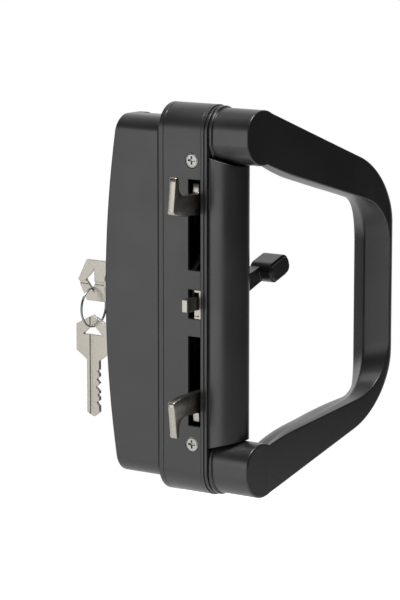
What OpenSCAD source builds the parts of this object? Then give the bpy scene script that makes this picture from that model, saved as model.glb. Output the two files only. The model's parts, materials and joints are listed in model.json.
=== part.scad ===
// Sliding door handle with a twin-hook lock, in millimetres.
// X runs through the door, with the key side at -X and the grip side at +X.
// The hooks point along -Y, and the door's edge meets the flat back of the case at Y = 0.

/* [Lock case] */
// Height of the lock case
case_len = 200; // [190:1:215]
// Width of the case between the two base plates
case_w = 23; // [22:0.5:25]
// Depth of the case from the face to the door's edge
case_d = 27; // [26.5:0.5:29]
// Wall thickness of the case
wall = 2; // [1.8:0.1:2.2]
// Distance from an end of the case to the hollow for the mechanism
hollow_end = 34; // [32:0.5:35]
// Radius of a fixing screw's thread
case_screw_r = 2.1; // [1.8:0.1:2.4]
// Distance from an end of the case to a fixing screw
case_screw_end = 27.5; // [25:0.5:29]
// Length of a fixing screw that stands out at the back
case_screw_out = 12; // [6:1:20]

/* [Hooks] */
// Thickness of a hook
hook_t = 4; // [3.6:0.1:4.2]
// Distance from an end of the hollow to a hook's pivot
hook_end = 13; // [12:0.5:14]
// Reach of a hook from its pivot to its front face
hook_reach = 35.5; // [33:0.5:36]
// Gap between a hook's round boss and the back wall
hook_back_gap = 1.8; // [1.6:0.1:2.4]
// Radius of a hook's pivot pin
hook_pin_r = 2; // [1.8:0.1:2.2]
// Radius of each crank pin
crank_pin_r = 1.25; // [1:0.05:1.4]

/* [Thumb lever] */
// Height of the lever and key axis above the middle
axis_z = 3.5; // [2.5:0.5:4]
// Radius of the lever's spindle
spindle_r = 3.5; // [3:0.1:3.6]
// Angle that the lever turns through
lever_turn = 60; // [50:1:60]
// Distance from the axis to the middle of the thumb pad
pad_reach = 34.4; // [32:0.2:38]
// Length of the thumb pad
pad_len = 18; // [14:0.5:20]
// Height of the thumb pad
pad_h = 10.8; // [9:0.2:12]

/* [Trigger] */
// Width of the trigger bar
trigger_w = 3.5; // [3:0.1:3.8]
// Height of the trigger bar
trigger_h = 6.5; // [5.5:0.1:7]
// Travel of the trigger
trigger_travel = 5.5; // [4:0.1:5.6]
// Distance that the pressed trigger still stands out of the face
trigger_rest = 3.1; // [2:0.1:4]

/* [Inside handle] */
// Thickness of the base plate on the grip side
base_t = 1.8; // [1.6:0.1:2.4]
// Thickness of the lever cover's flange
flange_t = 1.8; // [1.5:0.1:2.4]
// Height of the half-round lever cover above its flange
cover_h = 15.3; // [14:0.1:16]
// Width of the half-round lever cover
cover_w = 22.4; // [21:0.2:23]
// Radius of the round ends of a stub
stub_r = 11.5; // [10.5:0.1:12]
// Height of a stub
stub_h = 28; // [26:0.5:30]
// How far a stub's foot stays inside the outline of the case
foot_inset = 0.5; // [0.3:0.1:1]
// Distance of the grip's outer edge from the case's middle
grip_y = 98.4; // [85:0.5:110]
// Distance of the grip face from the seam at the stub
face_x = 28.6; // [26:0.5:32]
// Outward lean of the grip face for each millimetre along Y
face_lean = 0.15; // [0.1:0.01:0.2]

/* [Outside pull] */
// Thickness of the base plate on the key side
out_base_t = 3; // [2.6:0.1:4]
// Distance from an end of the case to the end of the pull
pull_end = 7; // [5:0.5:9]
// Depth of the pull through the door at its middle
pull_w = 34; // [32:0.5:36]
// How much less deep the pull is at its ends
pull_bow = 8; // [6:0.5:9]
// Radius of the pull's long corners
pull_corner_r = 8.5; // [6:0.5:10]
// Depth of the finger groove
groove_d = 11.5; // [9:0.5:12]

/* [Key and cylinder] */
// Radius of the key cylinder
cyl_r = 9.5; // [9:0.1:9.8]
// Radius of the turning plug
plug_r = 6.4; // [6:0.1:6.8]
// Thickness of a key
key_t = 2; // [1.8:0.1:2.2]
// Length of a key's bow from its point to the blade
bow_len = 24; // [22:0.5:26]
// Width of a key's bow
bow_w = 21.6; // [20:0.2:24]
// Length of a key's blade
blade_len = 30; // [26:0.5:32]
// Radius of the split ring at the middle of its wire
ring_r = 10.4; // [9:0.1:12]
// Radius of the split ring's wire
ring_wire_r = 0.75; // [0.6:0.05:0.8]

/* [Hidden] */
$fn = 48;

eps = 0.5;            // how far a cut runs past the face that it opens
run_gap = 0.06;       // running clearance, radial
fit_gap = 0.1;        // clearance between fixed pieces
fork_gap = 0.3;       // clearance of a fork on each side of its crank pin

// places along X
x_seam = case_w / 2;
x_out = -case_w / 2;
x_flange = x_seam + base_t;
x_cover = x_flange + flange_t;
x_pull = x_out - out_base_t;
x_face = x_pull - pull_w;
hook_x = x_seam - 3.8;             // middle of the hooks, slots and trigger
link_t = 3;
link_x1 = hook_x - hook_t / 2 - 0.7;
link_x0 = link_x1 - link_t;
cam_t = 3.2;
cam_x1 = link_x0 - 0.3;
cam_x0 = cam_x1 - cam_t;

// places along Y
y_mid = -case_d / 2;
y_face = -case_d;
y_back_wall = -wall;
y_face_wall = y_face + wall;
case_r = case_d / 2;
hook_pivot_y = y_mid + 1.5;
slot_x0 = x_seam - 7.5;

// heights along Z
foot_out = 1;                      // collar round the foot of each stub
stub_z = case_len / 2 - foot_inset - foot_out - stub_h / 2;
pull_len = case_len - 2 * pull_end;
hollow_len = case_len - 2 * hollow_end;
hook_pivot_z = hollow_len / 2 - hook_end;
slot_z0 = hook_pivot_z - hook_reach - 0.6;
slot_z1 = hook_pivot_z + 9.9;
window_z0 = -7.8;
window_z1 = 7.1;

hook_boss_r = y_back_wall - hook_pivot_y - hook_back_gap;

// the crank fits the depth of the case, and the cam lifts each link as far as the hooks' crank pins travel
crank_r = 0.8 * (case_d / 2 - 6);
link_lift = crank_r * sqrt(2);
cam_r = link_lift / 2 / sin(lever_turn / 2);
crank_drop = crank_r * sin(45);
cam_drop = cam_r * sin(lever_turn / 2);
cam_run = cam_r * cos(lever_turn / 2);
fork_h = crank_pin_r + fork_gap;

black = [0.12, 0.12, 0.125];
nickel = [0.72, 0.70, 0.67];
steel = [0.62, 0.63, 0.64];
zinc = [0.80, 0.79, 0.74];

// Extrudes a shape drawn in Y and Z from x0 to x1
module along_x(x0, x1) {
  translate([x0, 0, 0]) rotate([90, 0, 90]) linear_extrude(x1 - x0) children();
}

module rod_x(x0, x1, r, y, z) {
  translate([x0, y, z]) rotate([0, 90, 0]) cylinder(h = x1 - x0, r = r);
}

module rod_y(y0, y1, r, x, z) {
  translate([x, y1, z]) rotate([90, 0, 0]) cylinder(h = y1 - y0, r = r);
}

// An upright slot shape with round ends, centred
module stadium(h, r) {
  square([2 * r, h - 2 * r], center = true);
  for (s = [-1, 1]) translate([0, s * (h / 2 - r)]) circle(r);
}

// A rectangle with round corners, centred
module round_rect(w, h, r) {
  square([w - 2 * r, h], center = true);
  square([w, h - 2 * r], center = true);
  for (sx = [-1, 1], sz = [-1, 1]) translate([sx * (w / 2 - r), sz * (h / 2 - r)]) circle(r);
}

module case_outline(inset = 0) {
  translate([y_mid, 0]) stadium(case_len - 2 * inset, case_r - inset);
}

// Places that several pieces share
module at_case_screws() {
  for (s = [-1, 1]) translate([slot_x0 + 2.1, 0, s * (case_len / 2 - case_screw_end)]) children();
}

bolt_r = 2.5;
bolt_head_r = 4.4;
module at_handle_bolts() {
  for (s = [-1, 1]) translate([0, y_mid, s * stub_z]) children();
}

pull_screw_r = 1.9;
pull_screw_z = pull_len / 2 - 21;
pull_screw_y = y_face + 8;
module at_pull_screws() {
  for (s = [-1, 1]) translate([0, pull_screw_y, s * pull_screw_z]) children();
}

cover_screw_r = 1.5;
cover_screw_z = stub_z - 46.5;
module at_cover_screws() {
  for (s = [-1, 1]) translate([0, y_mid, s * cover_screw_z]) children();
}

// Lock case, cast in one piece with its face and open on the grip side
peg_r = 1.1;
spring_z = -7.4;
module lock_case() color(black) difference() {
  union() {
    difference() {
      along_x(x_out, x_seam) case_outline();
      along_x(x_out + wall, x_seam + eps) translate([y_mid, 0])
        round_rect(case_d - 2 * wall, hollow_len, 2.5);
    }
    // bosses of the hooks' pins and of the spindle
    for (s = [-1, 1]) rod_x(x_out + wall / 2, link_x0 - 0.4, 4, hook_pivot_y, s * hook_pivot_z);
    rod_x(x_out + wall / 2, cam_x0 - 0.3, 6.5, y_mid, axis_z);
    // peg inside the trigger's spring
    rod_y(y_back_wall - 12, y_back_wall + wall / 2, peg_r, hook_x, spring_z);
  }
  for (s = [-1, 1]) {
    face_slot(s * (slot_z0 + slot_z1) / 2, slot_z1 - slot_z0);
    rod_x(x_out + wall + 1, x_seam, hook_pin_r + fit_gap / 2, hook_pivot_y, s * hook_pivot_z);
  }
  face_slot((window_z0 + window_z1) / 2, window_z1 - window_z0);
  rod_x(x_out - eps, cam_x0, spindle_r + run_gap, y_mid, axis_z);
  at_case_screws() rod_y(y_face - eps, eps, case_screw_r + fit_gap, 0, 0);
  at_case_screws() translate([0, y_face + 2.2, 0]) rotate([90, 0, 0])
    cylinder(h = 2.2 + eps, r1 = case_screw_r + 0.2, r2 = 3.9 + eps * 0.8);
  at_handle_bolts() rod_x(x_out - eps, x_seam + eps, bolt_r + 0.25, 0, 0);
}

// An opening through the face, from its inner edge to the open side
module face_slot(z, h) {
  translate([slot_x0, y_face - eps, z - h / 2]) cube([x_seam - slot_x0 + eps, wall + 2 * eps, h]);
}

// Steel plate that closes the case on the grip side
module inside_base() color(black) difference() {
  along_x(x_seam, x_flange) case_outline();
  for (s = [-1, 1]) rod_x(x_seam - eps, x_flange + eps, hook_pin_r + fit_gap / 2, hook_pivot_y, s * hook_pivot_z);
  rod_x(x_seam - eps, x_flange + eps, spindle_r + run_gap, y_mid, axis_z);
  at_handle_bolts() rod_x(x_seam - eps, x_flange + eps, bolt_r + 0.25, 0, 0);
  at_cover_screws() rod_x(x_seam - eps, x_flange + eps, cover_screw_r + 0.15, 0, 0);
  at_cover_screws() rod_x(x_seam - eps, x_seam + 1.1, 3, 0, 0);
}

// Lever cover: a flange with a half-round hood, raked off above and below at the stubs,
// and hollow from the back but for a web that carries the lever
rake = 23;
cover_wall = 1.6;
foot_t = 2;
hood_half = stub_z - stub_h / 2 - foot_out - 0.3;
hollow_half = hood_half - 12;
web_half = 17;
pocket_half = cover_w / 2 - 3.2;
module hood(inset) {
  // a half ellipse in X and Y, drawn as a formula
  w = cover_w / 2 - inset;
  h = cover_h - inset;
  n = 28;
  linear_extrude(2 * hood_half, center = true)
    polygon([for (i = [0 : n]) [h * sin(180 * i / n), w * cos(180 * i / n)]]);
}
hub_r = 6.6;
module lever_cover() color(black) difference() {
  union() {
    difference() {
      union() {
        along_x(x_flange, x_cover) case_outline(foot_inset);
        difference() {
          translate([x_cover, y_mid, 0]) hood(0);
          for (s = [-1, 1]) translate([x_cover, y_mid, s * hood_half]) rotate([0, s * rake, 0])
            translate([-eps, -cover_w, s > 0 ? 0 : -20]) cube([30, 2 * cover_w, 20]);
          intersection() {
            translate([x_cover - 0.01, y_mid, 0]) hood(cover_wall);
            translate([x_cover, y_mid - cover_w, -hollow_half]) cube([30, 2 * cover_w, 2 * hollow_half]);
          }
        }
      }
      // pockets that open the hollow at the back
      for (s = [-1, 1]) translate([x_flange - eps, y_mid - pocket_half, s * (web_half + hollow_half - 1) / 2])
        translate([0, 0, -(hollow_half - 1 - web_half) / 2]) cube([flange_t + 2 * eps, 2 * pocket_half, hollow_half - 1 - web_half]);
    }
    at_cover_screws() rod_x(x_flange + 0.2, x_cover + cover_h - cover_wall / 2, 3.4, 0, 0);
  }
  rod_x(x_flange - eps, x_cover + eps, spindle_r + run_gap, y_mid, axis_z);
  at_handle_bolts() rod_x(x_flange - eps, x_cover + eps, bolt_r + 0.25, 0, 0);
  at_cover_screws() rod_x(x_flange - eps, x_cover + 9, cover_screw_r, 0, 0);
  // window on the door's side for the lever's sweep
  translate([x_cover, y_mid, -13]) cube([arm_x1 - x_cover + 0.8, cover_w, 27.5]);
}

// Rails of the grip loop, each a straight run, a round corner and an upright run:
// [start [y, z], corner [y, z], corner radius, depth on the arm, depth on the grip]
face_stock = 1;       // how far the loop stands through the grip face before the face is cut
rail_outer = [[3.4, stub_z + 13.2], [grip_y, stub_z - 25.5], 46, -face_stock, -face_stock];
rail_inner = [[-2.2, stub_z - 13.1], [grip_y - 0.7, stub_z - 44.7], 24, -face_stock, -face_stock];
rail_ridge = [[-1.8, stub_z - 12.9], [grip_y - 6.4, stub_z - 45.4], 12, 2.6, 13];
rail_heel = [[-1, stub_z - 12.3], [grip_y - 1, stub_z - 47.1], 12, 7, 22.5];
arm_steps = 6;
corner_steps = 14;
grip_steps = 3;
back_steps = 10;
arm_back = 11;
grip_back = 12;

function step_share(k) = k <= arm_steps ? 0 : k >= arm_steps + corner_steps ? 1 : (k - arm_steps) / corner_steps;
function ease(u) = u * u * (3 - 2 * u);
function blend(a, b, u) = a + (b - a) * u;

// Point of a rail at step k, in Y and Z from the middle of the case
function rail_point(rail, k) =
  let (
    start = rail[0], corner = rail[1], r = rail[2],
    run = corner - start,
    dir = run / norm(run),
    turn = 90 - atan2(-dir[1], dir[0]),
    tangent = r * tan(turn / 2),
    arc_start = corner - dir * tangent,
    arc_end = corner - [0, tangent],
    centre = arc_end - [r, 0]
  )
  k <= arm_steps ? blend(start, arc_start, k / arm_steps)
  : k <= arm_steps + corner_steps
    ? centre + r * [cos(turn * (1 - step_share(k))), sin(turn * (1 - step_share(k)))]
    : blend(arc_end, [corner[0], 0], (k - arm_steps - corner_steps) / grip_steps);

function rail_depth(rail, k) = blend(rail[3], rail[4], ease(step_share(k)));

// A point of the loop: height mirrored by side, depth measured back from the leaning face
function loop_point(p, depth, side) =
  [x_seam + face_x + face_lean * p[0] - depth, y_mid + p[0], side * p[1]];

// One ring of the loop: outer edge, rounded back, heel, ridge and inner edge
function loop_ring(k, side) =
  let (
    u = ease(step_share(k)),
    outer = rail_point(rail_outer, k),
    heel = rail_point(rail_heel, k),
    heel_depth = rail_depth(rail_heel, k),
    outward = [sin(90 * u), cos(90 * u)]
  )
  concat(
    [for (i = [0 : back_steps])
      let (
        a = 180 * i / back_steps,
        s = (1 - cos(a)) / 2,
        swell = sin(a) * (0.55 + 0.9 * s),
        p = blend(outer, heel, s) + outward * (grip_back * swell * sin(90 * u)),
        d = i == 0 ? rail_depth(rail_outer, k) : heel_depth * s + arm_back * swell * cos(90 * u)
      )
      loop_point(p, d, side)],
    [loop_point(rail_point(rail_ridge, k), rail_depth(rail_ridge, k), side),
     loop_point(rail_point(rail_inner, k), rail_depth(rail_inner, k), side)]
  );

half_steps = arm_steps + corner_steps + grip_steps;
module grip_loop() {
  rings = concat(
    [for (k = [0 : half_steps]) loop_ring(k, 1)],
    [for (k = [half_steps - 1 : -1 : 0]) loop_ring(k, -1)]
  );
  n = back_steps + 3;
  m = len(rings);
  first = mean_point(rings[0]);
  last = mean_point(rings[m - 1]);
  polyhedron(
    points = concat([for (ring = rings, p = ring) p], [first, last]),
    faces = concat(
      [for (i = [0 : n - 1]) [m * n, (i + 1) % n, i]],
      [for (k = [0 : m - 2], i = [0 : n - 1]) [k * n + i, (k + 1) * n + (i + 1) % n, (k + 1) * n + i]],
      [for (k = [0 : m - 2], i = [0 : n - 1]) [k * n + i, k * n + (i + 1) % n, (k + 1) * n + (i + 1) % n]],
      [for (i = [0 : n - 1]) [m * n + 1, (m - 1) * n + i, (m - 1) * n + (i + 1) % n]]
    )
  );
}
function mean_point(ring) = [for (c = [0 : 2]) ring_sum(ring, c) / len(ring)];
function ring_sum(ring, c, i = 0) = i == len(ring) ? 0 : ring[i][c] + ring_sum(ring, c, i + 1);

// Inside handle: two stubs cut off by the leaning grip face, and the loop between them
stub_shift = 0.5;
module inside_handle() color(black) difference() {
  union() {
    for (s = [-1, 1]) {
      along_x(x_cover, x_seam + face_x + 4) translate([y_mid + stub_shift, s * stub_z]) stadium(stub_h, stub_r);
      along_x(x_cover, x_cover + foot_t) translate([y_mid + stub_shift, s * stub_z])
        stadium(stub_h + 2 * foot_out, stub_r + foot_out);
    }
    grip_loop();
  }
  // the leaning face
  translate([x_seam + face_x, y_mid, 0]) rotate([0, 0, -atan(face_lean)])
    translate([0, -2 * stub_r, -case_len]) cube([3 * stub_r, 2 * grip_y, 2 * case_len]);
  at_handle_bolts() rod_x(x_cover - eps, x_cover + 18, bolt_r, 0, 0);
}

// Outside base plate and pull
module outside_base() color(black) difference() {
  along_x(x_pull, x_out) case_outline();
  rod_x(x_pull - eps, x_out + eps, 5, y_mid, axis_z);
  at_handle_bolts() rod_x(x_pull - eps, x_out + eps, bolt_r + 0.25, 0, 0);
  at_handle_bolts() rod_x(x_pull - eps, x_pull + 2, bolt_head_r + 0.2, 0, 0);
  at_pull_screws() rod_x(x_pull - eps, x_out + eps, pull_screw_r + 0.15, 0, 0);
  at_pull_screws() rod_x(x_out - 1.6, x_out + eps, 3.7, 0, 0);
}

bow_r = (pow(pull_len / 2, 2) + pow(pull_bow, 2)) / 2 / pull_bow;
groove_x1 = x_pull - 3;
groove_x0 = x_pull - 20;
boss_r = cyl_r + 4;
module outside_pull() color(black) difference() {
  intersection() {
    along_x(x_face, x_pull) translate([y_mid, 0]) round_rect(case_d, pull_len, pull_corner_r);
    translate([x_face + bow_r, eps, 0]) rotate([90, 0, 0]) cylinder(h = case_d + 2 * eps, r = bow_r, $fn = 360);
  }
  // finger groove on the door's side, with the cylinder's boss left standing in it
  difference() {
    translate([groove_x0, -groove_d, -pull_len]) cube([groove_x1 - groove_x0, groove_d + eps, 2 * pull_len]);
    rod_x(groove_x0 - eps, groove_x1 + eps, boss_r, y_mid, axis_z);
  }
  rod_x(x_face - eps, x_pull + eps, cyl_r + fit_gap, y_mid, axis_z);
  at_handle_bolts() rod_x(x_pull - 3, x_pull + eps, bolt_head_r + 0.2, 0, 0);
  at_pull_screws() rod_x(x_pull - 10, x_pull + eps, pull_screw_r, 0, 0);
}

// Key cylinder: body, trim ring and turning plug with its tailpiece
cyl_x0 = x_face - 2.5;
cyl_x1 = x_pull;
module cylinder_body() color(nickel) difference() {
  rod_x(cyl_x0, cyl_x1, cyl_r, y_mid, axis_z);
  rod_x(cyl_x0 - eps, cyl_x1 + eps, plug_r + run_gap, y_mid, axis_z);
}

module cylinder_ring() color(nickel) difference() {
  union() {
    rod_x(x_face - 1.4, x_face, cyl_r + 3, y_mid, axis_z);
    translate([x_face - 1.4, y_mid, axis_z]) rotate([0, -90, 0]) cylinder(h = 0.9, r1 = cyl_r + 3, r2 = cyl_r + 1.6);
  }
  rod_x(x_face - 3, x_face + eps, cyl_r + fit_gap, y_mid, axis_z);
}

blade_h = 8;
blade_gap = 0.25;
module cylinder_plug() color(nickel) difference() {
  rod_x(cyl_x0 - 0.4, cyl_x1 - 1, plug_r, y_mid, axis_z);
  translate([cyl_x0 - 1, y_mid - key_t / 2 - blade_gap, axis_z - blade_h / 2 - blade_gap])
    cube([blade_len + 2, key_t + 2 * blade_gap, blade_h + 2 * blade_gap]);
}

tail_t = 1.6;
tail_h = 4.6;
tail_x1 = cam_x0 - 0.4;
module tailpiece() color(steel) {
  translate([cyl_x1 - 1, y_mid - tail_t / 2, axis_z - tail_h / 2]) cube([tail_x1 - cyl_x1 + 1, tail_t, tail_h]);
}

// A key drawn with its point at the origin, its blade running along +X
hole_near = 5;
hole_far = 10.5;
hole_half = 6.3;
module key_shape() {
  tip = bow_len + blade_len;
  difference() {
    union() {
      polygon([[0, 0], [5.6, bow_w / 2], [bow_len - 4.5, bow_w / 2], [bow_len, blade_h / 2],
        [bow_len, -blade_h / 2], [bow_len - 4.5, -bow_w / 2], [5.6, -bow_w / 2]]);
      difference() {
        polygon([[bow_len - 1, blade_h / 2], [tip - 2.5, blade_h / 2], [tip, 1], [tip, -1], [tip - 2, -blade_h / 2],
          [bow_len - 1, -blade_h / 2]]);
        // cuts for the pins along one edge
        for (i = [0 : 4]) translate([bow_len + 6 + i * 4.2, blade_h / 2]) rotate(45)
          square([2, 1.4] + [0.7, 0.7] * (i % 3), center = true);
      }
    }
    polygon([[hole_near, 0], [hole_far, hole_half], [hole_far, -hole_half]]);
  }
}

module key() {
  groove_h = 1.5;
  difference() {
    translate([0, key_t / 2, 0]) rotate([90, 0, 0]) linear_extrude(key_t) key_shape();
    // milled grooves along both faces of the blade
    for (s = [-1, 1]) translate([bow_len, s * key_t / 2, s * 1.3]) cube([2 * blade_len, key_t * 0.6, groove_h], center = true);
  }
}

key_x = cyl_x0 - bow_len - 0.4;
module key_in_lock() color(nickel) translate([key_x, y_mid, axis_z]) key();

// Split ring through the low corner of the first key's hole
ring_x = key_x + 9.4;
ring_top_z = axis_z - (9.4 - hole_near) / (hole_far - hole_near) * hole_half + 1.25;
ring_z = ring_top_z - ring_r;
module key_ring() color(steel) translate([ring_x, y_mid, ring_z]) rotate([0, 90, 0])
  rotate_extrude() translate([ring_r, 0]) circle(ring_wire_r, $fn = 24);

// The second key hangs from the bottom of the ring by the point of its hole
spare_top_z = ring_z - ring_r + hole_near + ring_wire_r + 0.35 + 0.25;
module spare_key() color(nickel) translate([ring_x, y_mid, spare_top_z]) rotate([0, 90, 0]) key();

// Thumb lever: hub, arm and upright pad
arm_x0 = x_cover + 1;
arm_x1 = arm_x0 + 6;
pad_out = 7.4;
pad_angle = 17.6;
module pad_outline(inset) {
  translate([pad_reach, 0]) round_rect(pad_len - 2 * inset, pad_h - 2 * inset, 4.6 - inset);
}
module thumb_lever() color(black) translate([0, y_mid, axis_z]) difference() {
  union() {
    rod_x(x_cover + 0.5, arm_x1 + 1.4, hub_r, 0, 0);
    rotate([pad_angle, 0, 0]) {
      // the arm narrows from the hub to the pad
      along_x(arm_x0, arm_x1) polygon([[0, 6.2], [22, 4], [pad_reach, 4], [pad_reach, -4], [22, -4], [0, -4.6]]);
      along_x(arm_x0, arm_x1 + pad_out - 1.2) pad_outline(0);
      along_x(arm_x1, arm_x1 + pad_out) pad_outline(1.2);
    }
  }
  rod_x(x_cover, arm_x1 + 3, spindle_r + 0.02, 0, 0);
}

spindle_x0 = x_out + 1;
clip_x0 = x_seam - 0.9;
clip_t = 0.6;
clip_groove_r = spindle_r - 0.5;
module lever_spindle() color(steel) translate([0, y_mid, axis_z]) difference() {
  rod_x(spindle_x0, arm_x1 + 1.2, spindle_r, 0, 0);
  // groove of the retaining clip
  difference() {
    rod_x(clip_x0 - 0.05, clip_x0 + clip_t + 0.05, spindle_r + 1, 0, 0);
    rod_x(clip_x0 - 1, clip_x0 + clip_t + 1, clip_groove_r, 0, 0);
  }
  // slot that the tailpiece turns it by
  translate([spindle_x0 - eps, -tail_t / 2 - 0.15, -tail_h / 2 - 0.15])
    cube([tail_x1 - spindle_x0 + 0.4 + eps, tail_t + 0.3, tail_h + 0.3]);
}

cam_end_r = crank_pin_r + 1.3;
module hook_cam() color(steel) translate([0, y_mid, axis_z]) difference() {
  union() {
    rod_x(cam_x0, cam_x1, 6, 0, 0);
    rotate([lever_turn / 2, 0, 0]) {
      translate([cam_x0, -cam_r, -cam_end_r]) cube([cam_t, 2 * cam_r, 2 * cam_end_r]);
      for (s = [-1, 1]) {
        rod_x(cam_x0, cam_x1, cam_end_r, s * cam_r, 0);
        rod_x(cam_x0, link_x1 + 0.2, crank_pin_r, s * cam_r, 0);
      }
    }
  }
  rod_x(cam_x0 - eps, cam_x1 + eps, spindle_r + 0.02, 0, 0);
}

module spindle_washer() color(steel) difference() {
  rod_x(x_cover + 0.05, x_cover + 0.45, hub_r, y_mid, axis_z);
  rod_x(x_cover, x_cover + 1, spindle_r + 0.1, y_mid, axis_z);
}

module spindle_clip() color(steel) translate([0, y_mid, axis_z]) difference() {
  rod_x(clip_x0, clip_x0 + clip_t, 5.6, 0, 0);
  rod_x(clip_x0 - 1, clip_x0 + clip_t + 1, clip_groove_r + 0.04, 0, 0);
  // open side of the clip
  translate([clip_x0 - 1, -1.6, 0]) cube([clip_t + 2, 3.2, 8]);
}

// Hooks: boss, arm and claw, with a crank pin that the link works on
arm_low = hook_boss_r;
arm_high = 2.6;
claw_high = 13;
claw_low = 5.3;
claw_lean = 2.6;
module hook_outline() {
  difference() {
    union() {
      circle(hook_boss_r);
      polygon([
        [0, -arm_low], [-hook_reach + 9, -arm_low + 0.8], [-hook_reach + 1, -claw_low - 0.5], [-hook_reach, -claw_low + 0.6],
        for (a = [0 : 15 : 60]) [-hook_reach + claw_lean * sin(a) * 0.9, -claw_low + 0.6 + 17 * a / 60],
        [-hook_reach + claw_lean + 0.3, claw_high], [-hook_reach + claw_lean + 1.1, claw_high],
        for (a = [0 : 15 : 75]) [-hook_reach + 11.5 - 8 * cos(a), claw_high - 1.6 - 8.4 * sin(a)],
        [-hook_reach + 13, arm_high + 0.3], [0, arm_high + 1]
      ]);
    }
    circle(hook_pin_r + run_gap);
  }
}
module hook() {
  along_x(hook_x - hook_t / 2, hook_x + hook_t / 2) hook_outline();
  rod_x(link_x0 + 0.1, hook_x, crank_pin_r, crank_drop, -crank_drop);
}
module hook_upper() color(nickel) translate([0, hook_pivot_y, hook_pivot_z]) hook();
module hook_lower() color(nickel) translate([0, hook_pivot_y, -hook_pivot_z]) mirror([0, 0, 1]) hook();

module hook_pins() color(steel) for (s = [-1, 1])
  rod_x(x_out + wall + 1.2, x_flange - 0.1, hook_pin_r, hook_pivot_y, s * hook_pivot_z);

// Links: a bar with an open fork at the hook and a closed slot at the cam, drawn in Y and Z
spine_y1 = y_back_wall - 0.6;
spine_y0 = spine_y1 - 4.4;
fork_y0 = hook_pivot_y + hook_pin_r + 0.6;
bend_z = axis_z + 23.5;            // where the upper link turns from its spine towards the cam
link_top = hook_pivot_z - crank_drop;
module hook_fork() {
  difference() {
    translate([fork_y0, link_top - 4.4]) square([spine_y1 - fork_y0, 8.8]);
    translate([fork_y0 - 2.6, link_top - fork_h]) square([7.6, 2 * fork_h]);
  }
}
foot_y = cam_run + (cam_r - cam_run) / 2;
foot_half_y = (cam_r - cam_run) / 2 + crank_pin_r + 0.2;
module cam_foot(side, z) {
  difference() {
    translate([y_mid + side * foot_y, z]) square([2 * foot_half_y + 2.4, 2 * fork_h + 4.4], center = true);
    translate([y_mid + side * foot_y, z]) square([2 * foot_half_y, 2 * (crank_pin_r + 0.2)], center = true);
  }
}
module link_upper() color(steel) along_x(link_x0, link_x1) {
  foot_z = axis_z - cam_drop;
  foot_in = y_mid - foot_y + foot_half_y + 1.2;
  hook_fork();
  translate([spine_y0, bend_z]) square([spine_y1 - spine_y0, link_top - bend_z - 4]);
  polygon([[spine_y1, bend_z + 1], [spine_y0, bend_z + 4], [foot_in - 5.6, axis_z + 10.5],
    [foot_in - 5.6, foot_z + 2], [foot_in, foot_z + 2], [foot_in, axis_z + 9.5], [spine_y1, bend_z - 5]]);
  cam_foot(-1, foot_z);
}
module link_lower() color(steel) along_x(link_x0, link_x1) {
  foot_z = axis_z + cam_drop;
  mirror([0, 1]) hook_fork();
  translate([spine_y0, -link_top + 4]) square([spine_y1 - spine_y0, link_top - 4 + foot_z - 2]);
  cam_foot(1, foot_z);
}

// Trigger with a foot behind the face, its guide clip and its spring
trigger_out = trigger_travel + trigger_rest;
toe_y0 = y_face_wall + 0.2;
toe_t = 1.8;
module trigger() color(nickel) {
  translate([hook_x - trigger_w / 2, y_face - trigger_out, -trigger_h / 2])
    cube([trigger_w, trigger_out + wall + 0.2 + toe_t, trigger_h]);
  translate([hook_x - trigger_w / 2, toe_y0, -11]) cube([trigger_w, toe_t, 11 + trigger_h / 2]);
}

lip_t = 1.2;
module trigger_guide() color(nickel) {
  lip_x0 = hook_x - 0.2;
  web_x0 = x_seam - 1.2;
  for (z = [window_z0 + 0.1, window_z1 - 0.1 - lip_t])
    translate([lip_x0, y_face + 0.3, z]) cube([x_seam - 0.1 - lip_x0, wall - 0.4, lip_t]);
  translate([web_x0, y_face + 0.3, window_z0 + 0.1]) cube([1.1, 3.4, window_z1 - window_z0 - 0.2]);
}

spring_r = 1.8;
spring_wire_r = 0.3;
spring_turns = 7;
module trigger_spring() color(steel) {
  length = y_back_wall - toe_y0 - toe_t - 2 * spring_wire_r - 0.1;
  steps = 14;
  sides = 6;
  rings = steps * spring_turns;
  path = [for (i = [0 : rings]) [spring_r * cos(360 * i / steps), length * i / rings, spring_r * sin(360 * i / steps)]];
  translate([hook_x, toe_y0 + toe_t + spring_wire_r + 0.05, spring_z]) polyhedron(
    points = [for (i = [0 : rings], j = [0 : sides - 1])
      path[i] + spring_wire_r * (cos(360 * j / sides) * [cos(360 * i / steps), 0, sin(360 * i / steps)]
        + sin(360 * j / sides) * [0, 1, 0])],
    faces = concat(
      [[for (j = [sides - 1 : -1 : 0]) j]],
      [for (i = [0 : rings - 1], j = [0 : sides - 1])
        [i * sides + j, i * sides + (j + 1) % sides, (i + 1) * sides + (j + 1) % sides]],
      [for (i = [0 : rings - 1], j = [0 : sides - 1])
        [i * sides + j, (i + 1) * sides + (j + 1) % sides, (i + 1) * sides + j]],
      [[for (j = [0 : sides - 1]) rings * sides + j]]
    )
  );
}

// Fastenings
module cross_recess(r, depth) {
  for (a = [0, 90]) rotate([0, 0, a]) cube([r * 1.2, r * 0.26, 2 * depth], center = true);
}
module case_screws() color(zinc) at_case_screws() difference() {
  union() {
    rod_y(y_face + 1, 0.4, case_screw_r - 0.4, 0, 0);
    rod_y(0.3, case_screw_out, case_screw_r, 0, 0);
    translate([0, y_face + 2.1, 0]) rotate([90, 0, 0]) cylinder(h = 1.9, r1 = case_screw_r, r2 = 3.6);
    translate([0, y_face + 0.25, 0]) rotate([90, 0, 0]) cylinder(h = 0.4, r1 = 3.6, r2 = 3);
  }
  translate([0, y_face - 0.15, 0]) rotate([90, 0, 0]) cross_recess(3.6, 1.3);
}

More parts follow.
